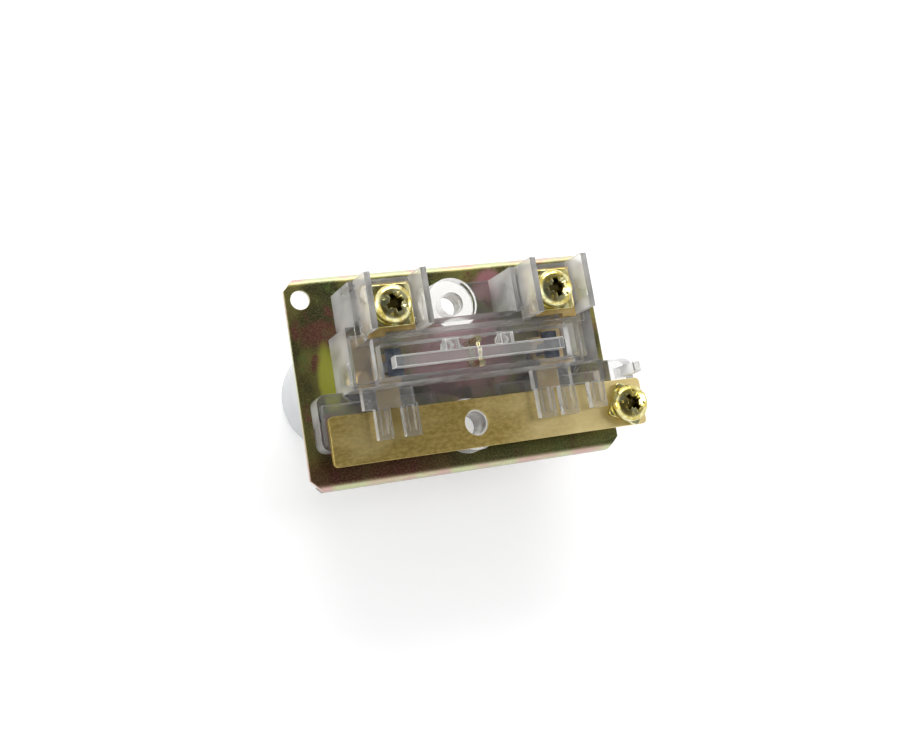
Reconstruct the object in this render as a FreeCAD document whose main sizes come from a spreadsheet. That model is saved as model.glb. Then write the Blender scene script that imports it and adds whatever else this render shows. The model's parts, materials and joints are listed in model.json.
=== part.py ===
import FreeCAD, Part
import math
import os
import Sketcher

# Twin cartridge fuse holder: a bent steel mounting plate carries a clear terminal block on its
# upper face and two screw-in fuse carriers on its underside.  Millimetres, +Z up, out of the
# terminal side.  The origin is the centre of the plate's upper face, +X runs along the plate.

doc = FreeCAD.newDocument("TwinFuseHolder")
sheet = doc.addObject("Spreadsheet::Sheet", "Sizes")

SIZES = {
    # how far joined masses run into each other, and the usual gap between fitted pieces
    "lap": 0.5, "fit_gap": 0.1,
    # mounting plate
    "plate_long": 60.0, "plate_wide": 38.0, "plate_gauge": 1.0, "plate_bend": 1.6,
    "plate_drop": 2.6, "plate_cut": 2.2, "corner_x": 27.2, "corner_y": 15.0, "corner_bore": 3.5,
    # bosses of the block that pass through the plate
    "boss_y": 11.1, "boss_dia": 9.6, "boss_bore": 4.2, "boss_top": 3.0, "boss_rim": 11.2,
    "rim_deep": 0.8,
    # clear terminal block: main walls, tray, seats and their barriers
    "wall": 1.2, "block_half": 23.2, "block_low": -3.3, "block_high": 7.3, "block_top": 11.0,
    "tray_half": 19.3, "tray_high": 4.6, "tray_top": 13.0, "tray_floor": 9.0, "tray_wall": 1.1,
    "seat_in": 9.65, "seat_out": 21.6, "seat_back": 15.1, "seat_top": 11.5,
    "barrier_in": 9.66, "barrier_out": 20.75, "barrier_low": 5.4, "barrier_top": 18.2,
    "barrier_gauge": 1.1, "web_top": 1.6, "screw_clear": 4.2, "feed_clear": 4.4,
    "rib_left": 8.4, "rib_right": 9.2, "rib_low": 7.0, "rib_top": 12.0,
    # clear terminal block: rail under the brass bar and the pockets moulded into it from below
    "rail_left": -28.2, "rail_right": 33.2, "rail_low": -12.6, "rail_high": -3.3,
    "rail_round": 1.6, "core_near": 6.2, "core_mid": 12.6, "core_far": 18.2, "core_end": 26.5,
    "stop_left": 29.3, "stop_right": 30.8, "stop_low": -6.5, "stop_high": -4.6, "stop_top": 12.0,
    # clear terminal block: fingers that hold the bar down
    "finger_base": 5.65, "finger_top": 7.3, "finger_tip": -12.0, "end_finger_tip": -11.4,
    "finger_wall": 0.8, "finger_end": 0.9, "finger_floor": 0.6, "flange_left": 11.5,
    "flange_right": 25.7, "bar_clear": 0.2,
    "finger_a_left": -18.9, "finger_a_right": -16.2, "finger_b_left": -13.9,
    "finger_b_right": -11.1, "finger_c_left": 11.8, "finger_c_right": 15.0,
    "finger_d_left": 16.4, "finger_d_right": 19.4, "finger_e_left": 22.3, "finger_e_right": 25.4,
    # brass bar shared by both ways
    "bar_left": -26.9, "bar_right": 33.6, "bar_low": -15.5, "bar_high": -6.85,
    "bar_base": 4.4, "bar_gauge": 1.2, "bar_bore": 4.7, "bar_corner": 0.8,
    # line terminals: tongue on the seat, leg down through the block, foot under the fuse's tip
    "screw_x": 15.2, "screw_y": 9.9, "feed_x": 29.8, "feed_y": -11.6, "tab_gauge": 1.2,
    "tongue_in": 4.0, "tongue_low": 5.6, "tongue_high": 14.0,
    "leg_in": 2.1, "leg_out": 0.6, "leg_low": 4.9, "leg_high": 6.1, "foot_out": 1.8,
    # terminal screws and washers
    "washer_side": 7.4, "washer_gauge": 1.0, "feed_washer_side": 6.4, "washer_corner": 0.7,
    "washer_play": 0.4, "head_dia": 6.8, "head_high": 2.3, "head_rim_high": 1.05,
    "head_shoulder_high": 1.8, "head_shoulder_in": 0.35, "head_crown_in": 1.2,
    "cross_long": 3.6, "cross_wide": 0.9, "cross_deep": 1.4, "screw_point": 0.6,
    "shank_dia": 3.4, "tapped_dia": 3.5, "shank_long": 8.0, "feed_long": 5.8, "lie_gap": 0.03,
    # pressure bar and what it rides on
    "press_half": 15.85, "press_low": -0.65, "press_high": 1.35, "press_base": 10.6,
    "press_top": 13.2, "arm_in": 4.0, "arm_out": 6.4, "arm_high": 3.2, "arm_base": 11.3,
    "pivot_z": 11.8, "pivot_dia": 0.8, "pin_play": 0.04,
    "staple_low": -2.0, "staple_high": 2.2, "staple_wire": 1.0, "staple_foot": 1.9,
    "staple_head": 0.8, "bridge_low": 2.7, "bridge_high": 1.7, "frame_half": 1.0,
    "frame_rim": 0.4, "frame_clear": 0.15,
    "stud_x": 14.9, "stud_y": 0.35, "stud_half": 1.0, "stud_clear": 0.15, "pad_half": 1.4,
    "pad_low": 2.45, "pad_high": 2.75, "pad_gauge": 0.8,
    "strap_in": 1.6, "strap_out": 2.6, "strap_low": -11.0, "strap_high": 3.0, "strap_gauge": 1.1,
    "spring_x": 5.2, "spring_y": 2.35, "spring_coil": 0.8, "spring_wire": 0.14,
    "spring_clear": 0.35,
    # fuse ways under the plate: gasket, socket and its contacts
    "way_x": 18.9, "way_y": -0.9, "gasket_gauge": 0.5, "gasket_in": 1.4, "flange_dia": 20.0,
    "flange_deep": 3.4, "barrel_dia": 14.0, "barrel_end": 12.0, "socket_bore": 5.8,
    "spigot_dia": 8.0, "spigot_top": 0.8, "key_reach": 4.8, "key_half": 1.8,
    "sleeve_dia": 6.6, "sleeve_high": 9.5, "sleeve_play": 0.3, "tab_near": 3.1, "tab_far": 3.9,
    "tab_half": 1.2, "rivet_dia": 2.0, "rivet_head": 3.8, "rivet_tail": 0.6,
    "rivet_tail_base": 3.4, "rivet_tail_tip": 2.4,
    # fuse ways under the plate: screw cap with its cup and wave washer
    "cap_dia": 20.4, "cap_end": 17.5, "cap_start": 3.9, "cap_bore": 15.0, "cap_step": 12.8,
    "cap_pocket": 6.8, "cap_front": 1.2, "cap_ease_wide": 0.9, "cap_ease_high": 1.0,
    "cap_turn_wide": 0.25, "cap_turn_high": 0.3, "coin_long": 13.0, "coin_wide": 1.8,
    "coin_deep": 0.6, "cup_dia": 6.2, "cup_wall": 0.4, "cup_floor": 0.35, "cup_base": 15.9,
    "cup_rim": 13.4, "wave_dia": 5.4, "wave_bore": 3.0, "wave_gauge": 0.3, "wave_gap": 0.05,
    # glass cartridge fuse
    "fuse_tail": 0.5, "fuse_long": 15.0, "ferrule_dia": 5.2, "ferrule_long": 5.0,
    "ferrule_skin": 0.4, "glass_dia": 4.8, "glass_bore": 3.8, "glass_in": 0.8,
    "cement_gap": 0.01, "element_dia": 0.3,
}
for row, (alias, value) in enumerate(SIZES.items(), start=1):
    sheet.set("A%d" % row, alias)
    sheet.set("B%d" % row, repr(value))
    sheet.setAlias("B%d" % row, alias)
doc.recompute()

NODES = []                                    # finished sub-parts, in building order
counter = 0


def bound(expression):
    """The expression with every alias of the sheet written as a reference to it."""
    words = []
    for word in str(expression).replace("(", " ( ").replace(")", " ) ").split():
        sign = ""
        while word and word[0] in "+-" and word[1:] in SIZES:
            sign, word = sign + word[0], word[1:]
        words.append(sign + ("Sizes." + word if word in SIZES else word))
    return " ".join(words)


def number(expression):
    """The expression's value in millimetres."""
    value = sheet.evalExpression(bound(expression))
    return float(getattr(value, "Value", value))


def bind(item, **settings):
    """Bind properties of an object to expressions; Base_x stands for Placement.Base.x."""
    for name, expression in settings.items():
        name = "Placement.Base." + name[-1] if name.startswith("Base_") else name
        item.setExpression(name, bound(expression))
    return item


def fresh(kind, name):
    """A new document object with a name of its own."""
    global counter
    counter += 1
    return doc.addObject(kind, "%s_%d" % (name, counter))


def box(name, x0, x1, y0, y1, z0, z1):
    """A rectangular block between six bound faces."""
    item = fresh("Part::Box", name)
    return bind(item, Length="( %s ) - ( %s )" % (x1, x0), Width="( %s ) - ( %s )" % (y1, y0),
                Height="( %s ) - ( %s )" % (z1, z0), Base_x=x0, Base_y=y0, Base_z=z0)


def side_box(name, side, x0, x1, y0, y1, z0, z1):
    """A block given for the right-hand way, or its mirror image for the left-hand way."""
    if side > 0:
        return box(name, x0, x1, y0, y1, z0, z1)
    return box(name, "0 - ( %s )" % x1, "0 - ( %s )" % x0, y0, y1, z0, z1)


def rod(name, dia, x, y, z0, z1):
    """A round bar along Z."""
    item = fresh("Part::Cylinder", name)
    return bind(item, Radius="( %s ) / 2" % dia, Height="( %s ) - ( %s )" % (z1, z0),
                Base_x=x, Base_y=y, Base_z=z0)


def fuse(name, *items):
    """One solid from several."""
    item = fresh("Part::MultiFuse", name)
    item.Shapes = list(items)
    item.Refine = False
    return item


def cut(name, base, *tools):
    """The base with the tools taken out of it."""
    item = fresh("Part::Cut", name)
    item.Base = base
    item.Tool = tools[0] if len(tools) == 1 else fuse(name + "_tools", *tools)
    item.Refine = True
    return item


def rounded(name, base, radius, choose):
    """Fillet the edges that the test picks."""
    doc.recompute()
    item = fresh("Part::Fillet", name)
    item.Base = base
    edges = enumerate(base.Shape.Edges, start=1)
    item.Edges = [(index, radius, radius) for index, edge in edges if choose(edge)]
    return item


def node(item, label):
    """Name a finished sub-part."""
    item.Label = label
    NODES.append(item)
    return item


def upright_at(x, y):
    """A test for the straight edges along Z that stand at a given place."""
    x, y = number(x), number(y)

    def test(edge):
        first, last = edge.Vertexes[0].Point, edge.Vertexes[-1].Point
        return abs(first.x - x) + abs(first.y - y) + abs(last.x - x) + abs(last.y - y) < 0.01
    return test


def new_body(label):
    """A PartDesign body that will be a sub-part."""
    body = doc.addObject("PartDesign::Body", label)
    return node(body, label)


def plane_of(body, role):
    """One of the body's own origin planes."""
    return next(item for item in body.Origin.OriginFeatures if item.Role == role)


def outline(body, name, role, points, lift=None):
    """A closed sketch with straight sides; every corner is bound to the sheet."""
    sketch = body.newObject("Sketcher::SketchObject", name)
    sketch.AttachmentSupport = [(plane_of(body, role), "")]
    sketch.MapMode = "FlatFace"
    if lift is not None:
        sketch.setExpression("AttachmentOffset.Base.z", bound(lift))
    places = [FreeCAD.Vector(number(u), number(v), 0) for u, v in points]
    count = len(places)
    for index in range(count):
        sketch.addGeometry(Part.LineSegment(places[index], places[(index + 1) % count]))
    for index in range(count):
        sketch.addConstraint(Sketcher.Constraint("Coincident", index, 2, (index + 1) % count, 1))
    for index, (u, v) in enumerate(points):
        for kind, expression in (("DistanceX", u), ("DistanceY", v)):
            value = number(expression)
            at = sketch.addConstraint(Sketcher.Constraint(kind, -1, 1, index, 1, value))
            sketch.setExpression("Constraints[%d]" % at, bound(expression))
    return sketch


def circles(body, name, role, rings, lift=None):
    """A sketch of bound circles, each given as centre u, centre v and diameter."""
    sketch = body.newObject("Sketcher::SketchObject", name)
    sketch.AttachmentSupport = [(plane_of(body, role), "")]
    sketch.MapMode = "FlatFace"
    if lift is not None:
        sketch.setExpression("AttachmentOffset.Base.z", bound(lift))
    for index, (u, v, dia) in enumerate(rings):
        centre = FreeCAD.Vector(number(u), number(v), 0)
        sketch.addGeometry(Part.Circle(centre, FreeCAD.Vector(0, 0, 1), number(dia) / 2))
        bonds = (("DistanceX", (-1, 1, index, 3), u), ("DistanceY", (-1, 1, index, 3), v),
                 ("Diameter", (index,), dia))
        for kind, where, expression in bonds:
            at = sketch.addConstraint(Sketcher.Constraint(kind, *where, number(expression)))
            sketch.setExpression("Constraints[%d]" % at, bound(expression))
    return sketch


def pad(body, name, sketch, length, both=False, back=False):
    """Extrude a sketch."""
    feature = body.newObject("PartDesign::Pad", name)
    feature.Profile = sketch
    feature.setExpression("Length", bound(length))
    feature.Midplane = both
    feature.Reversed = back
    body.Tip = feature
    return feature


def pocket(body, name, sketch, length, back=False):
    """Cut a sketch into the body and make sure that it really cuts."""
    doc.recompute()
    before = body.Shape.Volume
    feature = body.newObject("PartDesign::Pocket", name)
    feature.Profile = sketch
    feature.setExpression("Length", bound(length))
    feature.Reversed = back
    body.Tip = feature
    doc.recompute()
    if body.Shape.Volume > before - 1e-6:
        raise RuntimeError(name + " cuts nothing")
    return feature


def turned(body, name, points):
    """Revolve a closed outline of radius and height about the body's Z axis."""
    sketch = outline(body, name + "_profile", "XZ_Plane", points)
    feature = body.newObject("PartDesign::Revolution", name)
    feature.Profile = sketch
    feature.ReferenceAxis = (sketch, ["V_Axis"])
    feature.Angle = 360
    body.Tip = feature
    return feature


def move(body, x, y, z="0"):
    """Bind a body's placement."""
    return bind(body, Base_x=x, Base_y=y, Base_z=z)


# ---------------------------------------------------------------------------------------------
# mounting plate: steel sheet, long edges bent down, corners clipped

def make_plate():
    body = new_body("mounting_plate")
    half, deep = "plate_wide / 2", "0 - plate_drop"
    inner = "plate_wide / 2 - plate_gauge"
    points = [("0 - %s" % half, deep), ("0 - ( %s )" % inner, deep),
              ("0 - ( %s )" % inner, "0 - plate_gauge"), (inner, "0 - plate_gauge"),
              (inner, deep), (half, deep), (half, "0"), ("0 - %s" % half, "0")]
    sheet_metal = pad(body, "folded_sheet", outline(body, "fold_profile", "YZ_Plane", points),
                      "plate_long", both=True)
    doc.recompute()
    wide = number(half)
    inside = number(inner)
    gauge = number("plate_gauge")

    def along(y, z):
        for index, edge in enumerate(sheet_metal.Shape.Edges, start=1):
            centre = edge.CenterOfMass
            if abs(centre.y - y) + abs(centre.z - z) < 0.01 and edge.Length > wide:
                return "Edge%d" % index
        raise RuntimeError("no such bend")
    outer = body.newObject("PartDesign::Fillet", "bend_outside")
    outer.Base = (sheet_metal, [along(wide, 0), along(-wide, 0)])
    outer.setExpression("Radius", bound("plate_bend"))
    body.Tip = outer
    doc.recompute()
    sheet_metal = outer
    bend = body.newObject("PartDesign::Fillet", "bend_inside")
    bend.Base = (outer, [along(inside, -gauge), along(-inside, -gauge)])
    bend.setExpression("Radius", bound("plate_bend - plate_gauge"))
    body.Tip = bend

    long_half = "plate_long / 2"
    for corner, (sx, sy) in enumerate(((1, 1), (1, -1), (-1, 1), (-1, -1))):
        tip_x, tip_y = "%d * %s" % (sx, long_half), "%d * %s" % (sy, half)
        points = [(tip_x, tip_y), ("%s - %d * plate_cut" % (tip_x, sx), tip_y),
                  (tip_x, "%s - %d * plate_cut" % (tip_y, sy))]
        clip = outline(body, "clip_%d" % corner, "XY_Plane", points, "0 - plate_drop - lap")
        pocket(body, "clipped_corner_%d" % corner, clip, "plate_drop + 2 * lap", back=True)
    rings = [("0 - corner_x", "corner_y", "corner_bore"),
             ("0", "boss_y", "boss_dia + 2 * fit_gap"), ("0", "0 - boss_y", "boss_dia + 2 * fit_gap"),
             ("way_x", "way_y", "spigot_dia + 2 * fit_gap"),
             ("0 - way_x", "way_y", "spigot_dia + 2 * fit_gap")]
    pocket(body, "round_holes", circles(body, "hole_circles", "XY_Plane", rings), "plate_gauge")
    for side in (-1, 1):
        inner_x, outer_x = "%d * ( way_x - key_reach - fit_gap )" % side, "%d * way_x" % side
        low, high = "way_y - key_half - fit_gap", "way_y + key_half + fit_gap"
        points = [(inner_x, low), (outer_x, low), (outer_x, high), (inner_x, high)]
        key = outline(body, "keyway_%d" % (side + 1), "XY_Plane", points)
        pocket(body, "keyway_cut_%d" % (side + 1), key, "plate_gauge")


# ---------------------------------------------------------------------------------------------
# terminal block: one clear moulding, open at the back

FINGERS = "abcde"                             # from left to right; the last one is shorter
UNDER = "0 - lap"                             # where cuts from below begin


def finger_sides(finger):
    """Left side, right side and tip of one finger."""
    tip = "end_finger_tip" if finger == FINGERS[-1] else "finger_tip"
    return "finger_%s_left" % finger, "finger_%s_right" % finger, tip


def boss(name, y, top):
    """A boss that stands in the plate, with its rim under the plate."""
    return [rod(name, "boss_dia", "0", y, "0 - plate_gauge", top),
            rod(name + "_rim", "boss_rim", "0", y, "0 - plate_gauge - rim_deep",
                "0 - plate_gauge")]


def prong_frame(name, prong):
    """A thick frame round one prong of the pivot staple."""
    return box(name, "0 - frame_half", "frame_half", prong + " - frame_rim",
               prong + " + staple_wire + frame_rim", "tray_floor - lap",
               "press_base - frame_clear")


def seat_solids(side):
    """Raised seat of one line terminal, between its two barriers."""
    return [
        side_box("seat", side, "seat_in", "seat_out", "block_high - lap", "seat_back", "0",
                 "seat_top"),
        side_box("seat_front", side, "seat_in", "seat_out", "tray_high - lap", "block_high",
                 "block_top - lap", "seat_top"),
        side_box("inner_barrier", side, "barrier_in", "barrier_in + barrier_gauge",
                 "barrier_low", "seat_back", "seat_top - lap", "barrier_top"),
        side_box("outer_barrier", side, "barrier_out - barrier_gauge", "barrier_out",
                 "barrier_low", "seat_back", "seat_top - lap", "barrier_top"),
        side_box("finger_flange", side, "flange_left", "barrier_out", "bar_high + bar_clear",
                 "block_low + lap", "finger_base", "finger_top"),
    ]


def block_solids():
    rail = box("rail_bar", "rail_left", "rail_right", "rail_low", "rail_high + lap", "0",
               "bar_base")
    corners = [upright_at(x, y) for x in ("rail_left", "rail_right")
               for y in ("rail_low", "rail_high + lap")]
    solids = [
        box("main_block", "0 - block_half", "block_half", "block_low", "block_high", "0",
            "block_top"),
        box("tray_rim", "0 - tray_half", "tray_half", "block_low", "tray_high",
            "block_top - lap", "tray_top"),
        box("web", "0 - seat_in", "seat_in", "block_high - lap", "seat_back - fit_gap", "0",
            "web_top"),
        box("short_rib", "rib_left", "rib_right", "rib_low", "seat_back - fit_gap", "0",
            "rib_top"),
        rounded("rail", rail, number("rail_round"), lambda edge: any(at(edge) for at in corners)),
        box("stop_arm", "stop_left", "stop_right", "stop_low", "stop_high", "bar_base - lap",
            "stop_top"),
        box("feed_flange", "barrier_out - barrier_gauge", "flange_right",
            "bar_high + bar_clear", "block_low + lap", "bar_base - lap", "finger_top"),
        prong_frame("lower_frame", "staple_low"),
        prong_frame("upper_frame", "staple_high"),
    ]
    solids += boss("top_boss", "boss_y", "boss_top") + boss("low_boss", "0 - boss_y", "bar_base")
    for side in (-1, 1):
        solids += seat_solids(side)
    for finger in FINGERS:
        left, right, tip = finger_sides(finger)
        solids.append(box("finger", left, right, tip, "bar_high + lap", "finger_base",
                          "finger_top"))
    return solids


def rail_core(name, left, right):
    """A pocket moulded into the rail from below."""
    return box(name, left, right, "rail_low + wall", "rail_high - wall", UNDER,
               "bar_base - wall")


def prong_gap(name, prong):
    """The slit that one prong of the pivot staple is pressed into."""
    return box(name, "0 - staple_wire / 2 - fit_gap", "staple_wire / 2 + fit_gap",
               prong + " - fit_gap", prong + " + staple_wire + fit_gap",
               "tray_floor - staple_foot - fit_gap", "press_base")


def way_hollows(side):
    """Everything that one way's metalwork and socket need cut into the block."""
    return [
        side_box("seat_core", side, "seat_in + wall", "seat_out - wall", "block_high + wall",
                 "seat_back - wall", UNDER, "seat_top - wall"),
        rod("screw_hole", "screw_clear", "%d * screw_x" % side, "screw_y", "bar_base",
            "seat_top + lap"),
        side_box("strap_slot", side, "stud_x - strap_in - fit_gap", "stud_x + strap_out + fit_gap",
                 "strap_low - fit_gap", "block_low + wall + lap",
                 "bar_base - strap_gauge - fit_gap", "bar_base + fit_gap"),
        side_box("leg_slot", side, "way_x - leg_in - fit_gap", "way_x + leg_out + fit_gap",
                 "leg_low - fit_gap", "leg_high + fit_gap", "tray_floor - wall - lap",
                 "seat_top + lap"),
        side_box("stud_hole", side, "stud_x - stud_half - stud_clear",
                 "stud_x + stud_half + stud_clear", "stud_y - stud_half - stud_clear",
                 "stud_y + stud_half + stud_clear", "tray_floor - wall - lap",
                 "tray_floor + lap"),
        rod("spigot_recess", "spigot_dia + 4 * fit_gap", "%d * way_x" % side, "way_y", UNDER,
            "spigot_top + fit_gap"),
        side_box("key_recess", side, "way_x - key_reach - 2 * fit_gap", "way_x",
                 "way_y - key_half - 2 * fit_gap", "way_y + key_half + 2 * fit_gap", UNDER,
                 "spigot_top + fit_gap"),
        side_box("foot_recess", side, "way_x - leg_in - 2 * fit_gap",
                 "way_x + foot_out + 2 * fit_gap", "way_y - foot_out - 2 * fit_gap", "way_y",
                 UNDER, "spigot_top + tab_gauge + rivet_tail + 2 * fit_gap"),
    ]


def block_hollows():
    hollows = [
        box("cavity", "0 - block_half + wall", "block_half - wall", "block_low + wall",
            "block_high - wall", UNDER, "tray_floor - 1"),
        box("tray", "0 - tray_half + tray_wall", "tray_half - tray_wall", "block_low + tray_wall",
            "tray_high - tray_wall", "tray_floor", "tray_top + lap"),
        rail_core("rail_core_left", "rail_left + wall", "0 - core_far"),
        rail_core("rail_core_mid", "0 - core_mid", "0 - core_near"),
        rail_core("rail_core_right", "core_near", "core_mid"),
        rail_core("rail_core_end", "core_far", "core_end"),
        rod("feed_screw_hole", "feed_clear", "feed_x", "feed_y", UNDER, "bar_base + lap"),
        prong_gap("low_prong_gap", "staple_low"),
        prong_gap("high_prong_gap", "staple_high"),
    ]
    for y in ("boss_y", "0 - boss_y"):
        hollows.append(rod("boss_bore", "boss_bore", "0", y, "0 - plate_gauge - rim_deep - lap",
                           "bar_base + lap"))
    for side in (-1, 1):
        hollows += way_hollows(side)
    for finger in FINGERS:
        left, right, tip = finger_sides(finger)
        hollows.append(box("finger_trough", left + " + finger_wall", right + " - finger_wall",
                           tip + " + finger_end", "bar_high + bar_clear",
                           "finger_base + finger_floor", "finger_top + lap"))
    return hollows


def make_block():
    whole = fuse("block_mass", *block_solids())
    return node(cut("block_cored", whole, *block_hollows()), "terminal_body")


# ---------------------------------------------------------------------------------------------
# brass current paths

def make_common_bar():
    body = new_body("common_bar")
    points = [("bar_left", "bar_low"), ("bar_right", "bar_low"), ("bar_right", "bar_high"),
              ("bar_left", "bar_high")]
    blank = pad(body, "bar_blank", outline(body, "bar_outline", "XY_Plane", points, "bar_base"),
                "bar_gauge")
    doc.recompute()
    uprights = ["Edge%d" % index for index, edge in enumerate(blank.Shape.Edges, start=1)
                if abs(edge.Length - number("bar_gauge")) < 0.001]
    corners = body.newObject("PartDesign::Fillet", "bar_corners")
    corners.Base = (blank, uprights)
    corners.setExpression("Radius", bound("bar_corner"))
    body.Tip = corners
    rings = [("0", "0 - boss_y", "bar_bore"), ("feed_x", "feed_y", "tapped_dia")]
    pocket(body, "bar_holes", circles(body, "bar_circles", "XY_Plane", rings, "bar_base"),
           "bar_gauge", back=True)


def make_terminal(side, label):
    """Bent brass strip: a tapped tongue on the seat, a leg and a foot under the fuse's tip."""
    tongue = side_box("tongue", side, "screw_x - tongue_in", "way_x + leg_out", "tongue_low",
                      "tongue_high", "seat_top", "seat_top + tab_gauge")
    leg = side_box("leg", side, "way_x - leg_in", "way_x + leg_out", "leg_low", "leg_high",
                   "spigot_top", "seat_top + tab_gauge")
    foot = side_box("foot", side, "way_x - leg_in", "way_x + foot_out", "way_y - foot_out",
                    "leg_high", "spigot_top", "spigot_top + tab_gauge")
    whole = fuse("terminal_blank", tongue, leg, foot)
    tapped = rod("tapped_hole", "tapped_dia", "%d * screw_x" % side, "screw_y",
                 "seat_top - lap", "seat_top + tab_gauge + lap")
    rivet_hole = rod("rivet_hole", "rivet_dia + fit_gap", "%d * way_x" % side, "way_y",
                     "spigot_top - lap", "spigot_top + tab_gauge + lap")
    return node(cut("terminal", whole, tapped, rivet_hole), label)


def make_strap(side, label):
    """Flat brass strip from the common bar back to the way's pad and shell contact."""
    strap = side_box("strap", side, "stud_x - strap_in", "stud_x + strap_out", "strap_low",
                     "strap_high", "bar_base - strap_gauge", "bar_base")
    return node(strap, label)


def make_stud(side, label):
    """Square shank through the tray floor, with an oblong contact pad on it."""
    head = side_box("stud_head", side, "stud_x - pad_half", "stud_x + pad_half",
                    "stud_y - pad_low", "stud_y + pad_high", "tray_floor",
                    "tray_floor + pad_gauge")
    shank = side_box("stud_shank", side, "stud_x - stud_half", "stud_x + stud_half",
                     "stud_y - stud_half", "stud_y + stud_half", "bar_base", "tray_floor")
    return node(fuse("stud", head, shank), label)


# ---------------------------------------------------------------------------------------------
# terminal screws with their captive square washers

def make_washer(label, x, y, z, wide, turn):
    """Square washer with rounded corners, turned about the screw by some degrees."""
    body = new_body(label)
    half = wide + " / 2"
    points = [("0 - %s" % half, "0 - %s" % half), (half, "0 - %s" % half), (half, half),
              ("0 - %s" % half, half)]
    blank = pad(body, label + "_blank", outline(body, label + "_outline", "XY_Plane", points),
                "washer_gauge")
    doc.recompute()
    uprights = ["Edge%d" % index for index, edge in enumerate(blank.Shape.Edges, start=1)
                if abs(edge.Length - number("washer_gauge")) < 0.001]
    corners = body.newObject("PartDesign::Fillet", label + "_corners")
    corners.Base = (blank, uprights)
    corners.setExpression("Radius", bound("washer_corner"))
    body.Tip = corners
    ring = circles(body, label + "_circle", "XY_Plane", [("0", "0", "shank_dia + washer_play")])
    pocket(body, label + "_hole", ring, "washer_gauge", back=True)
    body.Placement.Rotation = FreeCAD.Rotation(FreeCAD.Vector(0, 0, 1), turn)
    move(body, x, y, z)


def make_screw(label, x, y, z, long):
    """Pan-head screw; its own origin is the underside of the head."""
    body = new_body(label)
    head, shank = "head_dia / 2", "shank_dia / 2"
    points = [("0", "0 - %s" % long), ("%s - screw_point" % shank, "0 - %s" % long),
              (shank, "screw_point - %s" % long), (shank, "0"), (head, "0"),
              (head, "head_rim_high"), ("%s - head_shoulder_in" % head, "head_shoulder_high"),
              ("%s - head_crown_in" % head, "head_high"), ("0", "head_high")]
    turned(body, label + "_turned", points)
    arms = (("cross_long / 2", "cross_wide / 2"), ("cross_wide / 2", "cross_long / 2"))
    for index, (u, v) in enumerate(arms):
        points = [("0 - " + u, "0 - " + v), (u, "0 - " + v), (u, v), ("0 - " + u, v)]
        slot = outline(body, "%s_recess_%d" % (label, index), "XY_Plane", points, "head_high")
        pocket(body, "%s_cross_%d" % (label, index), slot, "cross_deep")
    move(body, x, y, z)


# ---------------------------------------------------------------------------------------------
# pressure bar, its pin, staple and springs

def pivot_rod(name, dia, y0, y1):
    """A round bar along Y on the pivot's own line."""
    item = fresh("Part::Cylinder", name)
    bind(item, Radius="( %s ) / 2" % dia, Height="( %s ) - ( %s )" % (y1, y0), Base_x="0",
         Base_y=y0, Base_z="pivot_z")
    item.Placement.Rotation = FreeCAD.Rotation(FreeCAD.Vector(1, 0, 0), -90)
    return item


def make_pressure_bar():
    beam = box("beam", "0 - press_half", "press_half", "press_low", "press_high", "press_base",
               "press_top")
    arms = [side_box("arm", side, "arm_in", "arm_out", "press_high - lap", "arm_high", "arm_base",
                     "press_top") for side in (-1, 1)]
    pin_hole = pivot_rod("pin_hole", "pivot_dia + 2 * pin_play", "press_low - lap",
                         "press_high + lap")
    return node(cut("pressure_bar", fuse("bar_and_arms", beam, *arms), pin_hole), "pressure_bar")


def make_staple():
    """Two square prongs through the tray floor, joined by a bridge under it."""
    half = "staple_wire / 2"
    prongs = [box("prong", "0 - " + half, half, prong, prong + " + staple_wire",
                  "tray_floor - staple_foot", "pivot_z + staple_head")
              for prong in ("staple_low", "staple_high")]
    bridge = box("bridge", "0 - " + half, half, "staple_low", "staple_high + staple_wire",
                 "tray_floor - bridge_low", "tray_floor - bridge_high")
    pin_hole = pivot_rod("staple_pin_hole", "pivot_dia", "staple_low - lap",
                         "staple_high + staple_wire + lap")
    return node(cut("staple", fuse("staple_wire", bridge, *prongs), pin_hole), "pivot_staple")


def make_pin():
    pin = pivot_rod("pin_bar", "pivot_dia", "staple_low - fit_gap",
                    "staple_high + staple_wire + fit_gap")
    return node(pin, "pivot_pin")


def coil(label, radius, wire, turns, x, y, z0, z1):
    """Closed-end compression spring: a round wire swept along a helix."""
    wire_radius = number(wire)
    low, high = number(z0) + wire_radius, number(z1) - wire_radius
    helix = Part.makeHelix((high - low) / turns, high - low, number(radius))
    start = FreeCAD.Vector(number(radius), 0, 0)
    circle = Part.Wire(Part.makeCircle(wire_radius, start, FreeCAD.Vector(0, 1, 0)))
    item = doc.addObject("Part::Feature", label)
    item.Shape = Part.Wire(helix).makePipeShell([circle], True, True)
    item.Placement.Base = FreeCAD.Vector(number(x), number(y), low)
    return node(item, label)


# ---------------------------------------------------------------------------------------------
# fuse ways: everything under the plate is made at the way's own axis, then moved there

def make_gasket(label, x):
    body = new_body(label)
    inner, outer = "spigot_dia / 2 + gasket_in", "flange_dia / 2 + fit_gap"
    under, top = "0 - plate_gauge - gasket_gauge", "0 - plate_gauge"
    turned(body, label + "_ring", [(inner, under), (outer, under), (outer, top), (inner, top)])
    move(body, x, "way_y")


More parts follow.
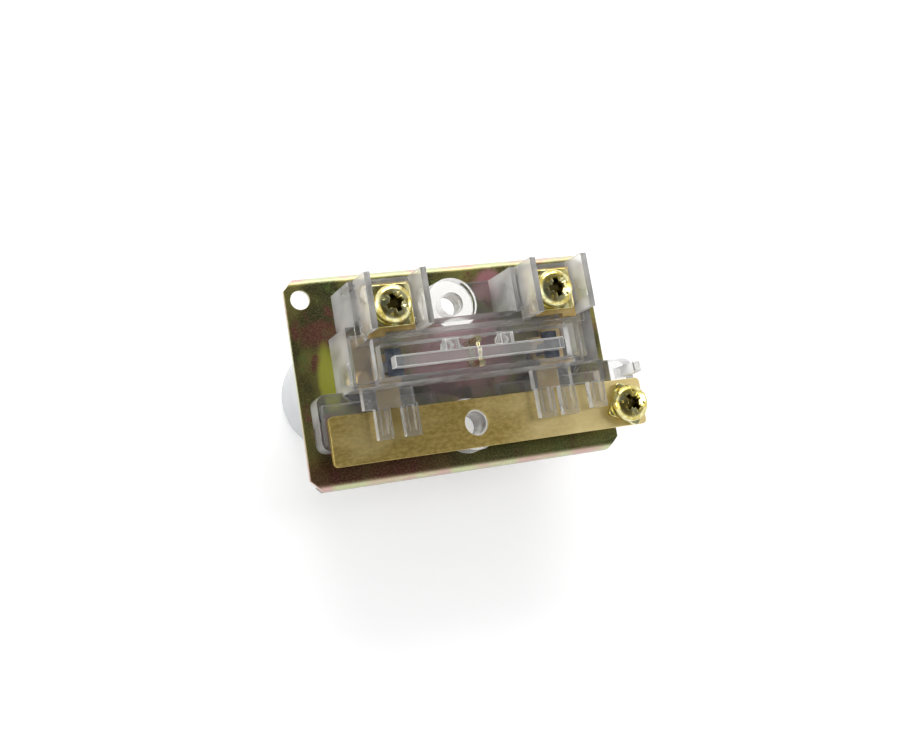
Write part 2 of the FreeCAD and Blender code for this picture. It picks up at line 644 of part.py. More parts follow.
def make_socket(side, label):
    """Phenolic socket: flange, threaded barrel, and a keyed spigot through the plate."""
    x = "%d * way_x" % side
    under = "0 - plate_gauge - gasket_gauge"
    flange = rod("flange", "flange_dia", x, "way_y", "0 - flange_deep", under)
    barrel = rod("barrel", "barrel_dia", x, "way_y", "0 - barrel_end", under)
    spigot = rod("spigot", "spigot_dia", x, "way_y", "0 - flange_deep", "spigot_top")
    key = side_box("key", side, "way_x - key_reach", "way_x", "way_y - key_half",
                   "way_y + key_half", "0 - flange_deep", "spigot_top")
    mouth = "0 - barrel_end - lap"
    bore = rod("fuse_bore", "socket_bore", x, "way_y", mouth, "0")
    groove = side_box("tab_groove", side, "way_x - tab_far - 1.5 * fit_gap",
                      "way_x - tab_near + 3 * fit_gap", "way_y - tab_half - fit_gap",
                      "way_y + tab_half + fit_gap", mouth, "spigot_top + lap")
    seat = rod("sleeve_seat", "sleeve_dia + fit_gap", x, "way_y", mouth,
               "fit_gap - sleeve_high")
    rivet_hole = rod("tip_hole", "rivet_dia + fit_gap", x, "way_y", "0 - lap",
                     "spigot_top + lap")
    whole = fuse("socket_mass", flange, barrel, spigot, key)
    return node(cut("socket", whole, bore, groove, seat, rivet_hole), label)


def make_shell_contact(side, label):
    """Brass sleeve round the fuse's outer ferrule, with a tab up to the feed strap."""
    x = "%d * way_x" % side
    low = "fit_gap - barrel_end"
    sleeve = rod("sleeve", "sleeve_dia", x, "way_y", low, "0 - sleeve_high")
    tab = side_box("tab", side, "way_x - tab_far", "way_x - tab_near", "way_y - tab_half",
                   "way_y + tab_half", low, "bar_base - strap_gauge")
    bore = rod("sleeve_bore", "ferrule_dia + sleeve_play", x, "way_y", "0 - barrel_end - lap",
               "bar_base")
    return node(cut("shell_contact", fuse("sleeve_and_tab", sleeve, tab), bore), label)


def make_tip_rivet(label, x):
    """Brass rivet: its head meets the fuse's tip, its tail is spread over the foot."""
    body = new_body(label)
    head, shank = "rivet_head / 2", "rivet_dia / 2"
    base, tail = "0 - fuse_tail", "spigot_top + tab_gauge"
    top = tail + " + rivet_tail"
    points = [("0", base), (head, base), (head, "0"), (shank, "0"), (shank, tail),
              ("rivet_tail_base / 2", tail), ("rivet_tail_tip / 2", top), ("0", top)]
    turned(body, label + "_turned", points)
    move(body, x, "way_y")


def make_cap(label, x):
    """White screw cap: skirt over the barrel, pocket for the fuse's end, coin slot in front."""
    body = new_body(label)
    edge, front = "cap_dia / 2", "0 - cap_end"
    bore, pocket_wall, skirt = "cap_bore / 2", "cap_pocket / 2", "0 - cap_start"
    points = [("0", front), (edge + " - cap_ease_wide", front),
              (edge + " - cap_turn_wide", front + " + cap_turn_high"),
              (edge, front + " + cap_ease_high"), (edge, skirt), (bore, skirt),
              (bore, "0 - cap_step"), (pocket_wall, "0 - cap_step"),
              (pocket_wall, front + " + cap_front"), ("0", front + " + cap_front")]
    turned(body, label + "_turned", points)
    u, v = "coin_long / 2", "coin_wide / 2"
    points = [("0 - " + u, "0 - " + v), (u, "0 - " + v), (u, v), ("0 - " + u, v)]
    slot = outline(body, label + "_slot", "XY_Plane", points, front)
    pocket(body, label + "_coin_slot", slot, "coin_deep", back=True)
    move(body, x, "way_y")


def make_cup(label, x):
    """Pressed brass cup that carries the fuse's outer end in the cap."""
    body = new_body(label)
    outer, inner = "cup_dia / 2", "cup_dia / 2 - cup_wall"
    base, floor, rim = "0 - cup_base", "cup_floor - cup_base", "0 - cup_rim"
    turned(body, label + "_turned", [("0", base), (outer, base), (outer, rim), (inner, rim),
                                     (inner, floor), ("0", floor)])
    move(body, x, "way_y")


def make_wave_washer(label, x):
    """Spring washer between the cup and the cap's front."""
    body = new_body(label)
    inner, outer = "wave_bore / 2", "wave_dia / 2"
    top = "0 - cup_base - wave_gap"
    base = top + " - wave_gauge"
    turned(body, label + "_turned", [(inner, base), (outer, base), (outer, top), (inner, top)])
    move(body, x, "way_y")


def make_fuse(side_name, x):
    """Glass cartridge fuse: tube, two plated ferrules and the wire between them."""
    end = "0 - fuse_tail - fuse_long"
    glass = new_body(side_name + "_fuse_tube")
    turned(glass, side_name + "_glass", [
        ("glass_bore / 2", end + " + glass_in"), ("glass_dia / 2", end + " + glass_in"),
        ("glass_dia / 2", "0 - fuse_tail - glass_in"),
        ("glass_bore / 2", "0 - fuse_tail - glass_in")])
    move(glass, x, "way_y")
    ferrule = "ferrule_dia / 2"
    inside = "glass_dia / 2 + cement_gap"
    outer = new_body(side_name + "_fuse_outer_ferrule")
    turned(outer, side_name + "_outer_cup", [
        ("0", end), (ferrule, end), (ferrule, end + " + ferrule_long"),
        (inside, end + " + ferrule_long"), (inside, end + " + ferrule_skin"),
        ("0", end + " + ferrule_skin")])
    move(outer, x, "way_y")
    tip = "0 - fuse_tail"
    inner = new_body(side_name + "_fuse_tip_ferrule")
    turned(inner, side_name + "_tip_cup", [
        ("0", tip + " - ferrule_skin"), (inside, tip + " - ferrule_skin"), (inside, tip + " - ferrule_long"),
        (ferrule, tip + " - ferrule_long"), (ferrule, tip), ("0", tip)])
    move(inner, x, "way_y")
    wire = rod("element", "element_dia", x, "way_y", end + " + ferrule_skin + 2 * cement_gap",
               tip + " - ferrule_skin - 2 * cement_gap")
    node(wire, side_name + "_fuse_element")


# ---------------------------------------------------------------------------------------------
# assembly

make_plate()
make_block()
make_common_bar()
make_pressure_bar()
make_staple()
make_pin()
WAYS = ((-1, "left"), (1, "right"))
COILS = 4
FEED_WASHER_TURN = -26                        # degrees
for side, name in WAYS:
    x = "%d * way_x" % side
    make_terminal(side, name + "_line_terminal")
    make_strap(side, name + "_feed_strap")
    make_stud(side, name + "_pressure_stud")
    coil(name + "_bar_spring", "spring_coil", "spring_wire", COILS, "%d * spring_x" % side,
         "spring_y", "tray_floor", "arm_base - spring_clear")
    make_gasket(name + "_panel_gasket", x)
    make_socket(side, name + "_fuse_socket")
    make_shell_contact(side, name + "_shell_contact")
    make_tip_rivet(name + "_tip_rivet", x)
    make_cap(name + "_fuse_cap", x)
    make_cup(name + "_cap_cup", x)
    make_wave_washer(name + "_cap_spring", x)
    make_fuse(name, x)

SEAT, BAR = "seat_top + tab_gauge", "bar_base + bar_gauge"
TERMINALS = (("left", "0 - screw_x", "screw_y", SEAT, "shank_long", "washer_side", 0),
             ("right", "screw_x", "screw_y", SEAT, "shank_long", "washer_side", 0),
             ("feed", "feed_x", "feed_y", BAR, "feed_long", "feed_washer_side",
              FEED_WASHER_TURN))
for name, x, y, top, long, wide, turn in TERMINALS:
    make_washer(name + "_terminal_washer", x, y, top + " + lie_gap", wide, turn)
    make_screw(name + "_terminal_screw", x, y, top + " + washer_gauge + 2 * lie_gap", long)

doc.recompute()
for item in doc.Objects:
    if "Invalid" in item.State or "Error" in item.State:
        raise RuntimeError("%s did not compute: %s" % (item.Name, item.State))
os.makedirs("parts", exist_ok=True)
for item in NODES:
    shape = item.Shape
    if shape.isNull() or not shape.isValid() or not shape.Solids:
        raise RuntimeError(item.Label + " has no valid solid")
    shape.exportStep("parts/%s.step" % item.Label)
    box_of = shape.BoundBox
    print("%-28s solids %d volume %8.2f  x %6.2f %6.2f  y %6.2f %6.2f  z %6.2f %6.2f" % (
        item.Label, len(shape.Solids), shape.Volume, box_of.XMin, box_of.XMax, box_of.YMin,
        box_of.YMax, box_of.ZMin, box_of.ZMax))
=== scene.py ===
import json
import math

import bmesh
import bpy
from mathutils import Matrix, Vector


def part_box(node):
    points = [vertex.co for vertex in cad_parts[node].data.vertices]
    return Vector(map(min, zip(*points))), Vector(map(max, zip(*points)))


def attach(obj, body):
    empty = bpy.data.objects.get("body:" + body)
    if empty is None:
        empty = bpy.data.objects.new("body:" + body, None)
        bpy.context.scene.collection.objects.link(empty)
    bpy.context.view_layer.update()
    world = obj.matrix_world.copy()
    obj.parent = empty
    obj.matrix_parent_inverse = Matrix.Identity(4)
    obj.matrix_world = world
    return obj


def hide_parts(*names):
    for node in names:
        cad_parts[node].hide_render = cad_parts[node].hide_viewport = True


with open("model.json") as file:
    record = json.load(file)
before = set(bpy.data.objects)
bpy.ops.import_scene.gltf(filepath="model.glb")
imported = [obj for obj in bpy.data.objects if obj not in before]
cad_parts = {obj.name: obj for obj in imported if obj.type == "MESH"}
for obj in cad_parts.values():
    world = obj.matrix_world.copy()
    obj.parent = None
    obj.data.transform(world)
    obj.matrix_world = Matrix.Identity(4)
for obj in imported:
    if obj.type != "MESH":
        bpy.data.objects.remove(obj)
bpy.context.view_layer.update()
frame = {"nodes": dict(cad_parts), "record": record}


# ---------------------------------------------------------------------------------------------
# Mounting plate.  Rolled steel sheet, blanked and folded along both long edges, then zinc plated
# and dipped in yellow passivate, which leaves drifting olive, gold, brown and rose patches over a
# fine grain.  The sheet is painted darker towards its lower edge; the bends of the folds carry a
# pale painted highlight and the flanges below them a painted shadow.

MM = 0.001


class Field:
    """A shader socket that can be used in ordinary sums."""

    def __init__(self, graph, socket):
        self.graph, self.socket = graph, socket

    def sum(self, operation, first, second):
        return self.graph.node("ShaderNodeMath", {"operation": operation}, {0: first, 1: second})

    def __add__(self, other):
        return self.sum("ADD", self, other)

    def __radd__(self, other):
        return self.sum("ADD", other, self)

    def __sub__(self, other):
        return self.sum("SUBTRACT", self, other)

    def __rsub__(self, other):
        return self.sum("SUBTRACT", other, self)

    def __mul__(self, other):
        return self.sum("MULTIPLY", self, other)

    def __rmul__(self, other):
        return self.sum("MULTIPLY", other, self)

    def __truediv__(self, other):
        return self.sum("DIVIDE", self, other)

    def __pow__(self, other):
        return self.sum("POWER", self, other)

    def size(self):
        return self.graph.node("ShaderNodeMath", {"operation": "ABSOLUTE"}, {0: self})

    def between(self, low, high):
        """0 below low, 1 above high, smooth in between (either way round)."""
        return self.graph.node("ShaderNodeMapRange", {"interpolation_type": "SMOOTHSTEP"},
                               {"Value": self, "From Min": low, "From Max": high})


class Graph:
    """A node tree that is written one node at a time."""

    def __init__(self, tree):
        self.tree = tree

    def feed(self, socket, value):
        """Link a field to a socket, or set the socket to a value."""
        if isinstance(value, Field):
            self.tree.links.new(value.socket, socket)
        elif socket.type == "RGBA" and len(value) == 3:
            socket.default_value = (*value, 1.0)
        else:
            socket.default_value = value

    def node(self, kind, settings=None, sockets=None, output=0):
        made = self.tree.nodes.new(kind)
        for name, value in (settings or {}).items():
            setattr(made, name, value)
        for name, value in (sockets or {}).items():
            self.feed(made.inputs[name], value)
        return Field(self, made.outputs[output])

    def mix(self, factor, first, second):
        """One colour drawn over another."""
        return self.node("ShaderNodeMix", {"data_type": "RGBA"}, {0: factor, 6: first, 7: second},
                         output=2)


class Shade(Graph):
    """One procedural material under construction."""

    def __init__(self, name, **constants):
        self.material = bpy.data.materials.new(name)
        self.material.use_nodes = True
        super().__init__(self.material.node_tree)
        self.shader = self.tree.nodes["Principled BSDF"]
        self.set(**constants)
        self.place = self.node("ShaderNodeTexCoord", output="Object")
        self.x, self.y, self.z = (self.node("ShaderNodeSeparateXYZ", {}, {"Vector": self.place},
                                            output=axis) for axis in "XYZ")

    def set(self, **sockets):
        """Feed the shader's own sockets, their names written with underscores."""
        for name, value in sockets.items():
            self.feed(self.shader.inputs[name.replace("_", " ")], value)

    def noise(self, grain_mm, detail=2.0, stretch=(1, 1, 1), roughness=0.5):
        """Drifting values about 0.5, with spots of the given size."""
        at = self.node("ShaderNodeVectorMath", {"operation": "MULTIPLY"},
                       {0: self.place, 1: tuple(value / (grain_mm * MM) for value in stretch)})
        return self.node("ShaderNodeTexNoise", {}, {"Vector": at, "Scale": 1.0, "Detail": detail,
                                                    "Roughness": roughness})

    def finish(self, color, roughness, relief=None, relief_mm=0.01):
        """Colour, roughness and, where relief is given, a fine bump; returns the material."""
        self.set(Base_Color=color, Roughness=roughness)
        if relief is not None:
            self.set(Normal=self.node("ShaderNodeBump", {}, {
                "Height": relief, "Strength": 1.0, "Distance": relief_mm * MM}))
        return self.material


def new_piece(name, work, smooth=True):
    """An object made of the mesh that has been worked on."""
    for face in work.faces:
        face.smooth = smooth
    mesh = bpy.data.meshes.new(name)
    work.to_mesh(mesh)
    work.free()
    piece = bpy.data.objects.new(name, mesh)
    bpy.context.scene.collection.objects.link(piece)
    return piece


def softened(node_name, edge_mm, segments=2, least_deg=25.0, edge_slot=0):
    """A copy of a frame node with its sharp edges rounded the way tooling leaves them."""
    work = bmesh.new()
    work.from_mesh(frame["nodes"][node_name].data)
    bmesh.ops.remove_doubles(work, verts=work.verts, dist=1e-6)
    bmesh.ops.dissolve_limit(work, angle_limit=math.radians(0.5), verts=work.verts,
                             edges=work.edges)
    least = math.radians(least_deg)
    sharp = [edge for edge in work.edges
             if len(edge.link_faces) == 2 and edge.calc_face_angle(0.0) > least]
    rounds = bmesh.ops.bevel(work, geom=sharp, offset=edge_mm * MM, offset_type="OFFSET",
                             segments=segments, profile=0.5, affect="EDGES", clamp_overlap=True)
    for face in work.faces:
        face.material_index = 0
    for face in rounds["faces"]:
        face.material_index = edge_slot
    piece = new_piece("soft_" + node_name, work)
    weighted = piece.modifiers.new("even_shading", "WEIGHTED_NORMAL")
    weighted.keep_sharp = True
    return piece


def body_of(node_name):
    """The body that a frame node belongs to."""
    bodies = frame["record"]["behaviour"]["bodies"]
    return next(body for body, names in bodies.items() if node_name in names)


def join_in(piece, node_name, slot, *materials):
    """Give a piece its materials and let it move with a frame node."""
    slots_used = [face.material_index for face in piece.data.polygons]
    piece.data.materials.clear()
    for material in materials:
        piece.data.materials.append(material)
    piece.data.polygons.foreach_set("material_index", slots_used)
    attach(piece, body_of(node_name))


def stand_in(piece, node_name, slot, *materials):
    """Let a piece stand for a frame node."""
    join_in(piece, node_name, slot, *materials)
    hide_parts(node_name)


def dress(node_name, material):
    """Give a frame node its finished material."""
    for slot in frame["nodes"][node_name].material_slots:
        slot.material = material


plate = Shade("yellow_passivated_zinc", Metallic=0.85, Coat_Weight=0.15)
drift = plate.noise(9.0, 3.0, (1.0, 0.55, 1.0))
blotch = plate.noise(4.2, 3.0, (1.0, 0.6, 1.0), 0.6)
grain = plate.noise(0.32, 2.0)
along, across, height = plate.x * 1000, plate.y * 1000, plate.z * 1000


def patch(x, y, wide, high, ragged=2.5):
    """A soft-edged oval of colour, torn by the drifting film; sizes in millimetres."""
    oval = ((along - x) / wide) ** 2.0 + ((across - y) / high) ** 2.0
    return (oval + (blotch - 0.5) * ragged).between(1.2, 0.3)


OLIVE_DARK, OLIVE = (0.055, 0.055, 0.018), (0.23, 0.21, 0.06)
GREEN, LEMON, STRAW = (0.13, 0.21, 0.05), (0.50, 0.52, 0.06), (0.38, 0.33, 0.16)
MAROON, WINE, ROSE = (0.17, 0.05, 0.045), (0.34, 0.09, 0.13), (0.50, 0.19, 0.25)
LOWER_LEFT, LOWER_RIGHT = (0.13, 0.035, 0.03), (0.07, 0.085, 0.022)
FOLD_HIGHLIGHT_GREEN, FOLD_HIGHLIGHT_PINK, FOLD_PAINTED_SHADOW = (0.56, 0.60, 0.36), (0.60, 0.40, 0.37), (0.05, 0.045, 0.02)
color = plate.mix(drift.between(0.38, 0.60), OLIVE_DARK, OLIVE)
color = plate.mix(blotch.between(0.54, 0.66) * 0.85, color, MAROON)
color = plate.mix(blotch.between(0.45, 0.33) * 0.8, color, GREEN)
color = plate.mix(patch(-24.5, 8.5, 5.0, 2.8) * 0.75, color, MAROON)
color = plate.mix(patch(-25.0, -9.5, 3.6, 3.6) * 0.75, color, WINE)
color = plate.mix(patch(-24.3, 0.5, 2.0, 6.5, 1.2) * 0.85, color, LEMON)
color = plate.mix(patch(0.5, 1.5, 11.0, 8.0) * 0.85, color, ROSE)
color = plate.mix(patch(9.0, 14.0, 4.0, 3.5) * 0.8, color, ROSE)
# Darker towards the lower edge, maroon at the left and olive at the right.
lower = plate.mix(along.between(-14.0, 6.0), LOWER_LEFT, LOWER_RIGHT)
color = plate.mix(across.between(-11.0, -16.5) * 0.75, color, lower)
# Painted highlight: the bends of the folds are a pale green and pink, far lighter than the sheet.
fold_painted_highlight = plate.mix(drift.between(0.42, 0.58), FOLD_HIGHLIGHT_GREEN, FOLD_HIGHLIGHT_PINK)
color = plate.mix(height.between(0.0, -0.45) * 0.92, color, fold_painted_highlight)
# Painted shadow: a dark band lower down the folded flanges.
color = plate.mix(height.between(-1.1, -1.8) * 0.8, color, FOLD_PAINTED_SHADOW)
color = plate.mix(grain.between(0.40, 0.7) * 0.28, color, STRAW)
plate.finish(color, 0.26 + grain * 0.18, grain + blotch * 0.3, 0.012)
stand_in(softened("mounting_plate", 0.10), "mounting_plate", "plated_steel", plate.material)


# ---------------------------------------------------------------------------------------------
# Clear terminal block.  Injection-moulded polycarbonate: gloss where the tool is polished, faintly
# milky with flow marks inside, edges broken by a small radius that catches the light.  The rounded
# edges are given a whiter, milkier plastic as a painted highlight, and the side walls extra milk in
# streaks as painted light.

def clear_plastic(name, tint, flow_tint, milk_face, side_milk_painted_light, milk_through=0.55):
    """Faintly milky clear plastic; the extra milk streaked over side walls is painted light."""
    shade = Shade(name, IOR=1.45, Transmission_Weight=0.97, Specular_IOR_Level=0.5)
    flow = shade.noise(5.0, 2.0, (0.6, 1.0, 1.0))
    speck = shade.noise(1.1, 1.0)
    painted_light_streaks = shade.noise(5.0, 1.0, (1.0, 1.0, 0.5))
    shade.finish(shade.mix(flow.between(0.35, 0.7), tint, flow_tint),
                 0.02 + speck.between(0.45, 0.8) * 0.05, flow, 0.03)
    milk = shade.node("ShaderNodeBsdfPrincipled", {}, {
        "Base Color": shade.mix(speck, (0.93, 0.92, 0.90), (1.0, 0.99, 0.97)),
        "Roughness": 0.30 + speck * 0.1, "Transmission Weight": milk_through, "IOR": 1.3})
    facing = shade.node("ShaderNodeNewGeometry", output="Normal")
    upright = shade.node("ShaderNodeSeparateXYZ", {}, {"Vector": facing}, output="Z").size()
    # Painted light: the side walls get extra milk in streaks, so they show whiter than the faces.
    side = upright.between(0.75, 0.25)
    milk_share_painted_light = milk_face + (side_milk_painted_light - milk_face) * side * painted_light_streaks.between(0.15, 0.75) * 1.6
    milk_share_painted_light = milk_share_painted_light + (flow - 0.5) * 0.12
    blend = shade.node("ShaderNodeMixShader", {}, {
        0: milk_share_painted_light, 1: Field(shade, shade.shader.outputs[0]), 2: milk})
    shade.feed(shade.tree.nodes["Material Output"].inputs["Surface"], blend)
    return shade.material


block_clear = clear_plastic("clear_polycarbonate", (0.99, 0.99, 0.985), (0.97, 0.965, 0.965),
                            0.08, 0.32)
# Painted highlight: the rounded edges are a whiter, milkier plastic.
edge_painted_highlight = clear_plastic("clear_edge_painted_highlight", (1.0, 1.0, 1.0), (0.99, 0.99, 0.99), 0.85, 0.80,
                           0.10)
stand_in(softened("terminal_body", 0.24, edge_slot=1), "terminal_body", "clear_block", block_clear,
         edge_painted_highlight)


# ---------------------------------------------------------------------------------------------
# Pressure bar.  A second clear moulding, a little milkier than the block.  It rocks on its pin, and
# two arms reach back from it over the springs, joined to it by hollow radii that make a rounded U.

rocker_clear = clear_plastic("clear_rocker_plastic", (0.985, 0.985, 0.975), (0.955, 0.95, 0.94),
                             0.18, 0.45)
# The rocker's rounded edges carry the same painted highlight.
stand_in(softened("pressure_bar", 0.16, edge_slot=1), "pressure_bar", "clear_rocker", rocker_clear,
         edge_painted_highlight)

ARM_INNER, BAR_BACK, WEB_BASE, WEB_TOP = 4.05, 1.30, 11.42, 13.08
U_RADIUS, U_STEPS = 1.65, 10
work = bmesh.new()
for side in (-1, 1):
    centre = (side * (ARM_INNER - U_RADIUS), BAR_BACK + U_RADIUS)
    rim = [(side * ARM_INNER, BAR_BACK)]
    for step in range(U_STEPS + 1):
        lean = math.radians(90.0 * step / U_STEPS)
        rim.append((centre[0] + side * U_RADIUS * math.sin(lean),
                    centre[1] - U_RADIUS * math.cos(lean)))
    low, high = ([work.verts.new((x * MM, y * MM, z * MM)) for x, y in rim]
                 for z in (WEB_BASE, WEB_TOP))
    work.faces.new(low)
    work.faces.new(high)
    for index in range(len(rim)):
        after = (index + 1) % len(rim)
        work.faces.new((low[index], low[after], high[after], high[index]))
bmesh.ops.recalc_face_normals(work, faces=work.faces)
join_in(new_piece("arm_webs", work, False), "pressure_bar", "clear_rocker", rocker_clear)


# ---------------------------------------------------------------------------------------------
# Common bar.  Half-hard brass strip, blanked with rounded corners and left to dull in its rolled,
# brushed surface; the sheared rim of the hole and the blanked edges stay brighter.  Towards its
# right end the bar is painted lighter, a painted glint.

BAR_MIDDLE, BAR_FACE, BAR_EDGE = 5.0, 0.53, 0.44
bar = Shade("rolled_brass", Metallic=0.92)
rolled = bar.noise(0.9, 4.0, (0.12, 1.0, 1.0), 0.65)
mottle = bar.noise(0.55, 3.0, (0.6, 1.0, 1.0), 0.6)
wear = bar.noise(7.0, 2.0, (0.5, 1.0, 1.0))
color = bar.mix(mottle.between(0.30, 0.72), (0.33, 0.235, 0.065), (0.50, 0.375, 0.12))
# Partly random wear, partly a painted glint that lightens the bar towards its right end.
wear_and_painted_glint = wear.between(0.45, 0.75) * 0.35 + (bar.x * 1000).between(4.0, 20.0) * 0.65
color = bar.mix(wear_and_painted_glint, color, (0.82, 0.68, 0.34))
edge = (bar.z * 1000 - BAR_MIDDLE).size().between(BAR_FACE, BAR_EDGE)
color = bar.mix(edge * 0.8, color, (0.80, 0.62, 0.18))
bar.finish(color, 0.36 + rolled * 0.14 - edge * 0.12, rolled + mottle * 0.4, 0.010)
stand_in(softened("common_bar", 0.09), "common_bar", "bar_brass", bar.material)


# ---------------------------------------------------------------------------------------------
# Brass current paths.  Line terminals, feed straps, shell contacts and end cups are stamped from
# satin strip and the tip rivets are headed; all turn slightly brown where they have been handled.

strip = Shade("satin_brass", Metallic=0.9)
tarnish = strip.noise(3.0, 3.0)
fine = strip.noise(0.35, 2.0, (0.3, 1.0, 1.0))
color = strip.mix(tarnish.between(0.4, 0.66), (0.47, 0.33, 0.12), (0.62, 0.47, 0.22))
strip.finish(color, 0.28 + fine * 0.2, fine, 0.008)
for side in ("left", "right"):
    terminal = side + "_line_terminal"
    stand_in(softened(terminal, 0.08), terminal, "strip_brass", strip.material)
    for name in ("feed_strap", "shell_contact", "tip_rivet", "cap_cup"):
        dress("%s_%s" % (side, name), strip.material)


# ---------------------------------------------------------------------------------------------
# Pivot staple and pin.  Hard-drawn bright brass wire, the staple pressed through the tray floor and
# the pin pushed through its two prongs and the pressure bar.

wire = Shade("bright_brass_wire", Metallic=1.0)
drawn = wire.noise(0.5, 2.0, (1.0, 1.0, 0.2))
wire.finish(wire.mix(drawn.between(0.35, 0.7), (0.70, 0.60, 0.34), (0.86, 0.78, 0.52)),
            0.18 + drawn * 0.15)
for name in ("pivot_staple", "pivot_pin"):
    dress(name, wire.material)


# ---------------------------------------------------------------------------------------------
# Pressure studs: square contact pads over a shank, silver metal painted dark grey as painted
# shade for the shadow they lie in behind the clear plastic.  The coil springs beside the pivot are
# bright spring wire, as are the wave washers inside the caps.

stud = Shade("contact_pad_painted_shade", Metallic=0.35)
pad_mottle = stud.noise(1.2, 3.0)
# Painted shade: the pads are dark grey for the shadow they lie in.
stud.finish(stud.mix(pad_mottle.between(0.35, 0.7), (0.055, 0.065, 0.085), (0.12, 0.135, 0.165)),
            0.38 + pad_mottle * 0.2, pad_mottle, 0.01)
spring = Shade("spring_wire", Metallic=1.0)
drawn = spring.noise(0.3, 2.0)
spring.finish(spring.mix(drawn, (0.55, 0.55, 0.53), (0.82, 0.81, 0.78)), 0.15 + drawn * 0.2)
for side in ("left", "right"):
    pad = side + "_pressure_stud"
    stand_in(softened(pad, 0.12), pad, "pad_grey", stud.material)
    dress(side + "_bar_spring", spring.material)
    dress(side + "_cap_spring", spring.material)


# ---------------------------------------------------------------------------------------------
# Terminal screws and square washers.  Cold-headed M3.5 pan heads with a cross recess, thread
# rolled, then zinc plated and passivated to a glossy greenish gold; the washers are blanked.

HEAD_HIGH, HEAD_RADIUS, RIM_HIGH = 2.3, 3.4, 0.85
CROWN_ROUND, CROWN_HIGH, CROWN_STEPS = 1.35, 1.2, 10
SHANK_RADIUS, THREAD_PITCH, THREAD_DEEP, THREAD_ROWS = 1.70, 0.6, 0.2, 96
RECESS_LONG, RECESS_WIDE, RECESS_DEEP = 2.05, 0.48, 1.55
TURNS = {"left": 22.0, "right": 8.0, "feed": 35.0}


def lathe(work, outline, segments, centre, wobble=None):
    """Turn an outline of (radius, height) pairs in millimetres about Z."""
    rings = []
    for radius, height in outline:
        ring = []
        for step in range(segments):
            turn = 2 * math.pi * step / segments
            reach = radius + (wobble(turn, height) if wobble else 0.0)
            ring.append(work.verts.new((centre[0] + reach * MM * math.cos(turn),
                                        centre[1] + reach * MM * math.sin(turn),
                                        height * MM)))
        rings.append(ring)
    for low, high in zip(rings, rings[1:]):
        for step in range(segments):
            after = (step + 1) % segments
            work.faces.new((low[step], low[after], high[after], high[step]))
    work.faces.new(list(reversed(rings[0])))
    work.faces.new(rings[-1])


def tapered_block(work, centre, turn, low, high):
    """A block between two oblongs, each given as half length, half width and height."""
    corners = []
    for half_long, half_wide, height in (low, high):
        for sx, sy in ((-1, -1), (1, -1), (1, 1), (-1, 1)):
            spot = Matrix.Rotation(turn, 3, "Z") @ Vector((sx * half_long, sy * half_wide, 0))
            corners.append(work.verts.new((centre[0] + spot.x * MM, centre[1] + spot.y * MM,
                                           height * MM)))
    for ids in ((3, 2, 1, 0), (4, 5, 6, 7), (0, 1, 5, 4), (1, 2, 6, 5), (2, 3, 7, 6),
                (3, 0, 4, 7)):
        work.faces.new([corners[index] for index in ids])


def recess_cutter(name, centre, top, turn):
    """The driver recess: a tapered cross, a cone between its arms and a nick out on the rim."""
    work = bmesh.new()
    base, brim = top - RECESS_DEEP, top + 0.6
    narrow, wide = RECESS_LONG * 0.42, RECESS_LONG * 1.08
    tapered_block(work, centre, turn, (narrow, RECESS_WIDE, base), (wide, RECESS_WIDE, brim))
    tapered_block(work, centre, turn, (RECESS_WIDE, narrow, base), (RECESS_WIDE, wide, brim))
    for quarter in range(4):
        angle = turn + math.radians(45 + 90 * quarter)
        for out, tip, mouth, deep in ((0.72, 0.10, 0.55, 1.0), (2.2, 0.20, 0.52, 0.42)):
            middle = (centre[0] + out * MM * math.cos(angle),
                      centre[1] + out * MM * math.sin(angle))
            lathe(work, ((tip, top - deep), (mouth, top + 0.3)), 16, middle)
    return new_piece(name, work, False)


def baked(piece):
    """Replace a piece's mesh by what its modifiers make of it."""
    shown = piece.evaluated_get(bpy.context.evaluated_depsgraph_get())
    mesh = bpy.data.meshes.new_from_object(shown)
    piece.modifiers.clear()
    piece.data = mesh


def pan_head(node_name, centre, under, turn):
    """The turned head with its cross recess; under is the height of its underside."""
    outline = [(1.68, under - 0.02), (HEAD_RADIUS - 0.22, under),
               (HEAD_RADIUS - 0.06, under + 0.06), (HEAD_RADIUS, under + 0.2),
               (HEAD_RADIUS, under + RIM_HIGH)]
    for step in range(1, CROWN_STEPS + 1):
        lean = math.radians(90.0 * step / CROWN_STEPS)
        outline.append((HEAD_RADIUS - CROWN_ROUND + CROWN_ROUND * math.cos(lean),
                        under + RIM_HIGH + CROWN_HIGH * math.sin(lean)))
    outline += [(1.2, under + HEAD_HIGH - 0.08), (0.3, under + HEAD_HIGH)]
    work = bmesh.new()
    lathe(work, outline, 72, centre)
    piece = new_piece("turned_" + node_name, work)
    cutter = recess_cutter("cutter_" + node_name, centre, under + HEAD_HIGH, turn)
    recess = piece.modifiers.new("recess", "BOOLEAN")
    recess.operation, recess.object, recess.solver = "DIFFERENCE", cutter, "EXACT"
    recess.use_self = True
    broken = piece.modifiers.new("broken_edges", "BEVEL")
    broken.width, broken.segments, broken.limit_method = 0.05 * MM, 2, "ANGLE"
    broken.angle_limit = math.radians(35)
    baked(piece)
    bpy.data.objects.remove(cutter)
    return piece


def rolled_thread(node_name, centre, under, bottom):
    """The threaded shank below the head."""
    def groove(around, height):
        phase = (height / THREAD_PITCH - around / (2 * math.pi)) % 1.0
        fade = min(1.0, max(0.0, (height - bottom) / 0.8), max(0.0, (under - height) / 0.3))
        return -THREAD_DEEP * abs(2 * phase - 1) * fade

    rows = [(0.9, bottom), (1.35, bottom + 0.12)]
    rows += [(SHANK_RADIUS, bottom + (under - bottom) * step / THREAD_ROWS)
             for step in range(4, THREAD_ROWS + 1)]
    work = bmesh.new()
    lathe(work, rows, 40, centre, groove)
    return new_piece("thread_" + node_name, work)


